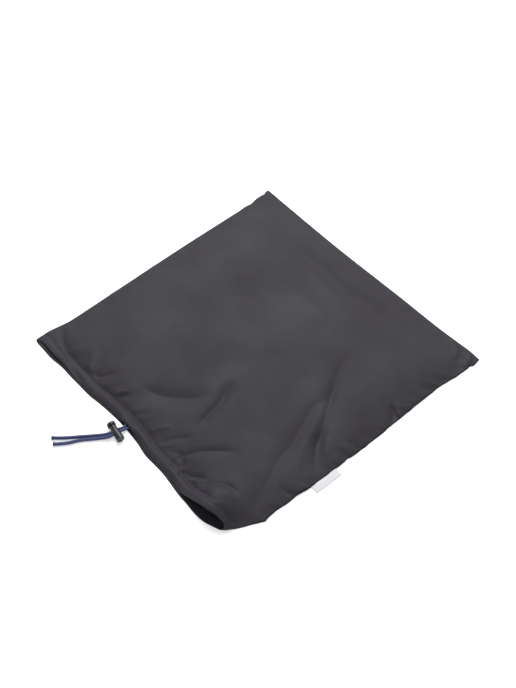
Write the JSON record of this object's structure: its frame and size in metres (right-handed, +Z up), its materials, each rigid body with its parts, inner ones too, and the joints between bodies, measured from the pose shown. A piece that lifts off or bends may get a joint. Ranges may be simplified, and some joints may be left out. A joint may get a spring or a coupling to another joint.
{
  "type": "drawstring helmet bag",
  "caption": "Flat drawstring bag of thin dark nylon for a sport helmet, lying empty, with a cord casing round its mouth, blue cord tails, a spring cord lock and a blank seam label.",
  "frame": {"origin": "middle of the laid bag's rectangle, on the floor under its back panel", "axes": "+X across the bag, towards the side seam with the label, +Y from the mouth to the sewn bottom, +Z up"},
  "size_m": [0.4706, 0.5586, 0.0361],
  "materials": {
    "nylon": "satin plain weave",
    "cord": "braided",
    "lock": "moulded satin",
    "label": "woven satin ribbon"
  },
  "bodies": {
    "bag": {"front_panel": "nylon", "back_panel": "nylon", "mouth_casing": "nylon", "drawcord_loop": "cord", "cord_tail_left": "cord", "cord_tail_right": "cord", "lock_barrel": "lock", "seam_label": "label"},
    "plunger": {"lock_plunger": "lock"}
  },
  "joints": [
    {"name": "plunger_press", "type": "slide", "parent": "bag", "child": "plunger", "axis": [0.9869, -0.1616, 0], "range_m": [0, 0.003], "stiffness_N_per_m": 600, "springref_m": -0.002}
  ]
}
